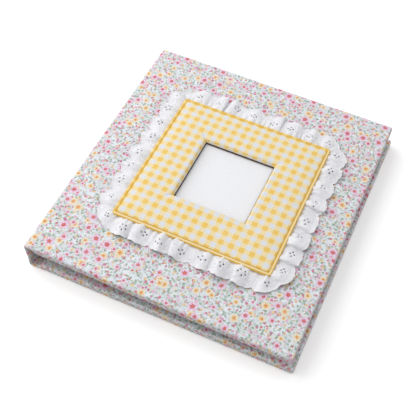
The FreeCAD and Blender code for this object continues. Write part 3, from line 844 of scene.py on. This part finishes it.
def make_frame_pad():
    """Gingham over batting: concentric squares, from the outer edge over the top, round the window's
    edge and back along the underside."""
    sizes = bpy.context.scene.album_frame
    outer, inner = FRAME_HALF, sizes.window / 2
    band = outer - inner
    count = 38
    per_side = 48

    def padded(inset):
        def height(x, y):
            low = sizes.foot + 2.0 * MM - 0.7 * MM * ease(inset / band, 0.5, 1.0)
            left = 1 - (low - sizes.foot) / (sizes.top - sizes.foot)
            return low + frame_height(x, y, sizes, outer) * left
        return height

    def level(rise):
        return lambda x, y: sizes.foot + rise

    squares = [(outer - 1.6 * MM, level(0.1 * MM)), (outer - 0.9 * MM, level(1.2 * MM))]
    for i in range(count + 1):
        inset = 0.9 * MM + (band - 0.9 * MM) * (0.5 - 0.5 * math.cos(math.pi * i / count))
        squares.append((outer - inset, padded(inset)))
    squares += [
        (inner + 0.5 * MM, level(1.1 * MM)),
        (inner + 7 * MM, level(1.1 * MM)),
        (inner + 9 * MM, level(0.1 * MM)),
    ]
    profile = [(half, height(half, 0.0)) for half, height in squares]
    walked = [0.0]
    for a, b in zip(profile, profile[1:]):
        walked.append(walked[-1] + math.dist(a, b))
    centre = 2 + count // 2
    loops, places = [], []
    for i, (half, height) in enumerate(squares):
        # how much farther out this place is on the flat cloth than on the frame
        push = profile[centre][0] + walked[centre] - walked[i] - half
        loop, flat = [], []
        corners = [(-half, -half), (half, -half), (half, half), (-half, half)]
        for side in range(4):
            (x0, y0), (x1, y1) = corners[side], corners[(side + 1) % 4]
            for j in range(per_side):
                share = 0.25 - 0.25 * math.cos(math.pi * j / per_side) + 0.5 * j / per_side
                x, y = x0 + (x1 - x0) * share, y0 + (y1 - y0) * share
                loop.append(Vector((x, y, height(x, y))))
                if side % 2 == 0:
                    flat.append((x, y + math.copysign(push, y)))
                else:
                    flat.append((x + math.copysign(push, x), y))
        loops.append(loop)
        places.append(flat)
    places.append(places[-1])
    total = 4 * per_side
    points = [p for loop in loops for p in loop]
    faces, uv = [], []
    for i in range(len(loops)):
        after = (i + 1) % len(loops)
        for j in range(total):
            k = (j + 1) % total
            faces.append((i * total + j, i * total + k, after * total + k, after * total + j))
            quad = [places[i][j], places[i][k], places[i + 1][k], places[i + 1][j]]
            if k % per_side == 0:
                quad[1] = carried_on(places[i], j, k)
                quad[2] = carried_on(places[i + 1], j, k)
            uv.append(quad)
    made = add_mesh("frame_pad", points, faces, checks(), uv)
    made.data.transform(ON_COVER)
    return soften(made)


def carried_on(flat, j, k):
    """The corner's place on the cloth, as the side that ends there reaches it."""
    (x0, y0), (x1, y1) = flat[j], flat[k]
    if abs(y1 - y0) < abs(x1 - x0):
        return (x1, y0)
    return (x0, y1)


def square_path(half, corner, spacing, reach=0.0):
    """Points and outward normals round a square with round corners, in order, from the tail side.
    They are evenly spaced as seen from a line that runs outside by reach."""
    run = half - corner
    path = []
    for side in range(4):
        turn = Matrix.Rotation(side * math.pi / 2, 3, "Z")
        straight = max(int(2 * run / spacing), 1)
        for i in range(straight):
            point = Vector((-run + 2 * run * i / straight, -half, 0))
            path.append((turn @ point, turn @ Vector((0, -1, 0))))
        bend = max(int((corner + reach) * math.pi / 2 / spacing), 4)
        for i in range(bend):
            angle = -math.pi / 2 + math.pi / 2 * i / bend
            out = Vector((math.cos(angle), math.sin(angle), 0))
            path.append((turn @ (Vector((run, -run, 0)) + out * corner), turn @ out))
    return path


def tube(name, path, radius, finish, placement, sides=10, stripe=None):
    """A closed round cord through a ring of (point, outward) pairs."""
    rings, along = [], [0.0]
    for i, (point, out) in enumerate(path):
        ring = []
        for j in range(sides):
            angle = 2 * math.pi * j / sides
            ring.append(point + out * (radius * math.cos(angle)) + Vector((0, 0, radius * math.sin(angle))))
        rings.append(ring)
        along.append(along[-1] + (path[(i + 1) % len(path)][0] - point).length)
    around = [2 * math.pi * radius * j / sides for j in range(sides + 1)]
    if stripe is not None:
        along = stripe(path, along)
    rings.append(rings[0])
    made = loft(name, rings, along, around, finish)
    cleaner = bmesh.new()
    cleaner.from_mesh(made.data)
    bmesh.ops.remove_doubles(cleaner, verts=cleaner.verts, dist=1e-6)
    bmesh.ops.recalc_face_normals(cleaner, faces=cleaner.faces)
    cleaner.to_mesh(made.data)
    cleaner.free()
    made.data.transform(placement)
    return made


def make_frame_shade_board():
    """The dark board under the padding: a square ring that shows as a thin lip inside the window. Its dark
    brown is painted shade, standing in for the shadow under the padding's window edge.
    """
    sizes = bpy.context.scene.album_frame
    low, high = sizes.foot + 0.02 * MM, sizes.foot + 1.0 * MM
    outer, inner = FRAME_HALF - 1.2 * MM, sizes.window / 2 - sizes.lip
    chamfer = 0.15 * MM
    outline = [(outer, low), (outer, high), (inner + chamfer, high), (inner, high - chamfer),
               (inner, low + chamfer), (inner + chamfer, low)]
    points = []
    for half, z in outline:
        points += [(-half, -half, z), (half, -half, z), (half, half, z), (-half, half, z)]
    faces = []
    for i in range(len(outline)):
        after = (i + 1) % len(outline)
        for j in range(4):
            k = (j + 1) % 4
            faces.append((i * 4 + j, i * 4 + k, after * 4 + k, after * 4 + j))
    # painted shade: the board's dark brown stands in for the shadow line under the padding's window edge
    finish = card("frame_shade_board_card", seen(84, 63, 52), 300.0)
    made = add_mesh("frame_shade_board_ring", points, faces, finish, smooth_faces=False)
    made.data.transform(ON_COVER)
    return made


def piping_stripe(path, along):
    """Places along the piping's strip: counted on at the spine and head, where it crosses the stripes,
    and one negative place at the tail and fore edge, where it follows a stripe."""
    check = bpy.context.scene.album_frame.check
    placed, moved = [], 0.5 * check
    for i, (_, out) in enumerate(path):
        crosses = out.y - out.x > 0.3
        placed.append(moved if crosses else -0.5 * check)
        if crosses:
            moved += along[i + 1] - along[i]
    return placed + [placed[0]]


class ALBUM_OT_frame(bpy.types.Operator):
    """Builds the padded photo frame with its board and piping"""

    bl_idname = "album.frame"
    bl_label = "Photo frame"

    def execute(self, context):
        sizes = context.scene.album_frame
        pad = make_frame_pad()
        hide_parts("frame_fabric", "frame_padding")
        path = square_path(FRAME_HALF + 0.9 * MM, corner=1.3 * MM, spacing=1.2 * MM)
        lift = Matrix.Translation((0, 0, sizes.foot + 3.0 * MM))
        piping = tube("frame_piping_cord", path, sizes.piping, piping_cotton(), ON_COVER @ lift,
                      stripe=piping_stripe)
        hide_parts("frame_piping")
        board = make_frame_shade_board()
        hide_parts("frame_board")
        for piece in (pad, piping, board):
            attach(piece, "front_cover")
        return {"FINISHED"}


# --- the ruffle ---


def fold_lines(count, folds, spread, chance):
    """The creases between folds, as places along the path, and each fold's strength, lean and tuck."""
    mean = count / folds
    creases = [mean * (k + spread * chance.uniform(-1, 1)) for k in range(folds)]
    kinds = [(chance.uniform(0.25, 1.25), chance.choice((-1, 1)), chance.random()) for _ in range(folds)]
    return creases + [creases[0] + count], kinds


def fold_at(place, count, creases, kinds):
    """How far through its fold a place is, and the fold's kind."""
    place = (place - creases[0]) % count + creases[0]
    fold = next(k for k in range(len(kinds)) if place <= creases[k + 1])
    return (place - creases[fold]) / (creases[fold + 1] - creases[fold]), kinds[fold]


def make_ruffle():
    """Gathered eyelet lace round the frame: folds that open towards a scalloped edge, eyelets cut
    through it, and stitching along the edge."""
    sizes = bpy.context.scene.album_ruffle
    step = 0.86 * MM
    path = square_path(FRAME_HALF - 1.0 * MM, corner=2.0 * MM, spacing=step, reach=0.5 * sizes.width)
    total = len(path)
    seed = 29
    chance = random.Random(seed)
    lobes = round(total * step / sizes.scallop)
    lobe = total / lobes
    creases, kinds = fold_lines(total, lobes, 0.24, chance)
    pucker_pitch = 6.8 * MM
    puckers, pucker_kinds = fold_lines(total, round(total * step / pucker_pitch), 0.44, chance)
    rows = sizes.rows
    flat_step = sizes.flat_length / total
    columns = []
    for i, (point, out) in enumerate(path):
        side = Vector((-out.y, out.x, 0))
        pleated = ease(-out.y + 0.7 * out.x, -0.4, 0.6)
        corner = abs(2 * out.x * out.y)
        slant = 7 * noise.noise(Vector((i * 0.04, 2.2, 0.7)))
        bumps = math.pi * i / lobe
        scallop = abs(math.sin(bumps)) ** 0.7 + 0.26 * abs(math.sin(3 * bumps)) - 0.75
        pucker, (pucker_height, pucker_lean, _) = fold_at(i, total, puckers, pucker_kinds)
        over_card = point.y > FRAME_HALF - 3 * MM and abs(point.x) < CARD_HALF + 4 * MM
        lowest = 2.2 * MM if over_card else 0.9 * MM  # the card slides out below the lace at the head
        column = []
        for r in range(rows + 1):
            share = r / rows
            through, (strength, lean, tuck) = fold_at(i + slant * (share - 0.4), total, creases, kinds)
            if lean < 0:
                through = 1 - through
            lap = ease(tuck, 0.75 - 0.45 * pleated, 0.95 - 0.3 * pleated)
            crest = 0.5 - 0.5 * math.cos(2 * math.pi * through ** (1.3 + 0.9 * lap))
            open_out = ease(share, -0.25, 0.6)
            amount = sizes.fold * (0.3 + 0.7 * strength) * (0.8 + 0.2 * pleated) * open_out
            fading = (1 - share) ** 1.4
            gather = sizes.gather * (0.4 + pucker_height) * math.sin(math.pi * pucker) ** 2 * fading
            crinkle = 1.3 * MM * noise.noise(Vector((i * 0.075, share * 1.6, 6.5))) * (0.35 + 0.65 * share)
            crinkle += 0.3 * MM * noise.noise(Vector((i * 0.22, share * 5, 2.5)))
            reach = sizes.width * share * (1 - 0.19 * corner) * (1 - 0.05 * (1 - crest) * share)
            reach += (strength - 0.75) * 1.6 * MM * crest * share ** 2
            reach += sizes.scallop_depth * scallop * share ** 4
            bulge = 1.5 * MM * math.sin(math.pi * min(share * 1.15, 1)) ** 1.3
            height = 1.5 * MM + bulge + amount * crest + gather + crinkle
            lip = math.exp(-(((through - 0.8) / 0.13) ** 2))
            shift = lean * sizes.overlap * lap * lip * open_out
            shift += 0.5 * MM * pucker_lean * math.sin(math.pi * pucker) * fading
            column.append(point + out * reach + side * shift + Vector((0, 0, max(height, lowest))))
        columns.append(column)
    points = [p for column in columns for p in column]
    stride = rows + 1
    up = [r / rows * sizes.width for r in range(stride)]
    holes = eyelet_places(lobe, lobes, rows, chance)
    skipped = cut_eyelets(points, holes, total, stride, sizes.eyelet)
    faces, uv = [], []
    for i in range(total):
        k = (i + 1) % total
        for r in range(rows):
            if (i, r) in skipped:
                continue
            faces.append((i * stride + r, k * stride + r, k * stride + r + 1, i * stride + r + 1))
            near, far = i * flat_step, (i + 1) * flat_step
            uv.append([(near, up[r]), (far, up[r]), (far, up[r + 1]), (near, up[r + 1])])
    lace = finish_named("lace_cotton", lambda: plain_cotton("lace_cotton", tuple(sizes.tint), 0.4, 0.14))
    made = add_mesh("eyelet_ruffle", points, faces, lace, uv)
    cleaner = bmesh.new()
    cleaner.from_mesh(made.data)
    loose = [v for v in cleaner.verts if not v.link_faces]
    bmesh.ops.delete(cleaner, geom=loose, context="VERTS")
    cleaner.to_mesh(made.data)
    cleaner.free()
    made.data.transform(ON_COVER)
    thicken = made.modifiers.new("cloth_thickness", "SOLIDIFY")
    thicken.thickness = sizes.cloth
    thicken.offset = 0
    edge = [(columns[i][rows], path[i][1]) for i in range(total)]
    satin = plain_cotton("satin_stitching", tuple(sizes.edge_tint), 0.3, 0.1)
    hem = tube("ruffle_edge_stitching", edge, 0.5 * MM, satin, ON_COVER, sides=6)
    return made, hem


def eyelet_places(lobe, lobes, rows, chance):
    """Grid places of the eyelets: a flower, spray or three in the middle of each scallop."""
    kinds = [
        [(0, 3), (3, 1), (2, -2), (-2, -2), (-3, 1)],
        [(0, 2), (3, 0), (0, -2), (-3, 0)],
        [(0, 2), (2, -1), (-2, -1)],
        [(-4, 0), (0, 2), (0, -2), (4, 1)],
    ]
    places = []
    for k in range(lobes):
        column = round((k + 0.5 + 0.1 * chance.uniform(-1, 1)) * lobe)
        row = round(rows * chance.uniform(0.5, 0.66))
        for across, up in kinds[chance.choice((0, 1, 1, 2, 3))]:
            places.append((column + across, row + up))
    return places


def cut_eyelets(points, holes, total, stride, radius):
    """Draws the points round each eyelet onto its circle, and gives the cells that are left out."""
    skipped, moved = set(), {}
    for column, row in holes:
        skipped |= {((column + a) % total, row + b) for a in (-1, 0) for b in (-1, 0)}
        for a in (-1, 0, 1):
            for b in (-1, 0, 1):
                if a or b:
                    moved[((column + a) % total) * stride + row + b] = (column % total) * stride + row
    for index, centre in moved.items():
        offset = points[index] - points[centre]
        if offset.length > 0:
            points[index] = points[centre] + offset * (radius / offset.length)
    return skipped


class ALBUM_OT_ruffle(bpy.types.Operator):
    """Builds the gathered eyelet ruffle"""

    bl_idname = "album.ruffle"
    bl_label = "Ruffle"

    def execute(self, context):
        lace, hem = make_ruffle()
        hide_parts("lace_ruffle", "lace_heading")
        for piece in (lace, hem):
            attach(piece, "front_cover")
        return {"FINISHED"}


# --- what stays as designed, with its finish ---


class ALBUM_OT_inside(bpy.types.Operator):
    """Finishes the liners, pages, card, pocket strips and ring set"""

    bl_idname = "album.inside"
    bl_label = "Inside and ring set"

    def execute(self, context):
        nickel = metal("nickel_plate", (0.75, 0.75, 0.76), 0.16)
        steel = metal("spring_steel", (0.55, 0.55, 0.56), 0.32, brushed=0.12)
        # partly the parts' own colours, partly painted shade: the grey liners and charcoal pages keep the
        # gap between the closed covers dark
        liner = card("liner_paper", seen(168, 166, 162), 260.0)
        page = card("page_card", seen(66, 64, 64), 420.0)
        photo = card("photo_card", seen(229, 230, 234), 500.0, 0.6)
        pocket = card("pocket_card", seen(226, 223, 216), 300.0)
        finishes = [
            (liner, ["back_liner", "front_liner", "spine_liner"]),
            (page, [f"page_{i}" for i in range(1, 7)]),
            (photo, ["photo_card"]),
            (pocket, ["spine_side_strip", "fore_side_strip", "tail_strip"]),
            (nickel, ["ring_plate", "front_ring_halves", "back_ring_halves", "ring_rivets"]),
            (nickel, ["tail_trigger", "head_trigger"]),
            (steel, ["front_ring_blade", "back_ring_blade"]),
        ]
        for finish, nodes in finishes:
            for node in nodes:
                mesh = frame["nodes"][node].data
                mesh.materials.clear()
                mesh.materials.append(finish)
        return {"FINISHED"}


# --- the stage ---


def area_light(name, place, size, power):
    """A square soft light that shines at the middle of the album."""
    lamp = bpy.data.lights.new(name, "AREA")
    lamp.shape = "SQUARE"
    lamp.size = size
    lamp.energy = power
    made = bpy.data.objects.new(name, lamp)
    made.location = place
    made.rotation_mode = "QUATERNION"
    made.rotation_quaternion = (-Vector(place)).to_track_quat("-Z", "Y")
    bpy.context.scene.collection.objects.link(made)


class ALBUM_OT_stage(bpy.types.Operator):
    """Sets the floor, the soft light and the camera"""

    bl_idname = "album.stage"
    bl_label = "Stage"

    def execute(self, context):
        sizes = context.scene.album_stage
        scene = context.scene
        scene.view_settings.view_transform = "Standard"
        world = bpy.data.worlds.new("studio")
        world.use_nodes = True
        sky = world.node_tree.nodes["Background"]
        sky.inputs["Color"].default_value = (1.0, 1.0, 1.0, 1)
        sky.inputs["Strength"].default_value = sizes.sky
        scene.world = world
        paper, tree, shader = material("floor_paper", 0.9)
        # the floor looks white and yet throws only a dim light back onto the album's sides
        seen_directly = put(tree, "ShaderNodeLightPath").outputs["Is Camera Ray"]
        grain = put(tree, "ShaderNodeTexNoise", {"Scale": 3.0, "Detail": 2.0}).outputs[0]
        white = ramp(tree, grain, [(0.0, (0.98, 0.98, 0.98)), (1.0, (0.99, 0.99, 0.99))])
        white = over(tree, seen_directly, (0.46, 0.43, 0.40), white)
        tree.links.new(white, shader.inputs["Base Color"])
        shader.inputs["Emission Color"].default_value = (1.0, 1.0, 1.0, 1)
        tree.links.new(calc(tree, "MULTIPLY", seen_directly, 0.17), shader.inputs["Emission Strength"])
        reach = 4.0
        corners = [(-reach, -reach, 0), (reach, -reach, 0), (reach, reach, 0), (-reach, reach, 0)]
        floor = add_mesh("studio_floor", corners, [(0, 1, 2, 3)], paper, smooth_faces=False)
        floor.location.z = -0.2 * MM
        area_light("soft_key", (-0.82, 0.1, 0.86), 1.3, sizes.key)
        round_by, above = math.radians(sizes.azimuth), math.radians(sizes.elevation)
        level = math.cos(above)
        back = Vector((math.sin(round_by) * level, -math.cos(round_by) * level, math.sin(above)))
        right = Vector((math.cos(round_by), math.sin(round_by), 0))
        up = back.cross(right)
        roll = math.radians(sizes.roll)
        turned_right = right * math.cos(roll) + up * math.sin(roll)
        turned_up = up * math.cos(roll) - right * math.sin(roll)
        camera = bpy.data.objects.new("camera", bpy.data.cameras.new("camera"))
        camera.data.lens = sizes.lens
        camera.data.sensor_width = 36.0
        pose = Matrix((turned_right, turned_up, back)).transposed().to_4x4()
        pose.translation = Vector((sizes.aim_x, sizes.aim_y, 0)) + back * sizes.distance
        camera.matrix_world = pose
        scene.collection.objects.link(camera)
        scene.camera = camera
        return {"FINISHED"}


# --- the add-on ---


class ALBUM_PT_panel(bpy.types.Panel):
    """One button for each step, in order"""

    bl_idname = "ALBUM_PT_panel"
    bl_label = "Scrapbook album"
    bl_space_type = "VIEW_3D"
    bl_region_type = "UI"
    bl_category = "Album"

    def draw(self, context):
        for operator in OPERATORS:
            self.layout.operator(operator.bl_idname)


GROUPS = {
    "album_print": AlbumPrint,
    "album_covers": AlbumCovers,
    "album_frame": AlbumFrame,
    "album_ruffle": AlbumRuffle,
    "album_stage": AlbumStage,
}
OPERATORS = [ALBUM_OT_covers, ALBUM_OT_frame, ALBUM_OT_ruffle, ALBUM_OT_inside, ALBUM_OT_stage]


def register():
    for name, kind in GROUPS.items():
        bpy.utils.register_class(kind)
        setattr(bpy.types.Scene, name, PointerProperty(type=kind))
    for kind in [*OPERATORS, ALBUM_PT_panel]:
        bpy.utils.register_class(kind)


def unregister():
    for kind in [ALBUM_PT_panel, *reversed(OPERATORS)]:
        bpy.utils.unregister_class(kind)
    for name, kind in reversed(GROUPS.items()):
        delattr(bpy.types.Scene, name)
        bpy.utils.unregister_class(kind)


def main():
    """Builds the album and its stage."""
    register()
    bpy.ops.album.covers()
    bpy.ops.album.frame()
    bpy.ops.album.ruffle()
    bpy.ops.album.inside()
    bpy.ops.album.stage()


if __name__ == "__main__":
    main()
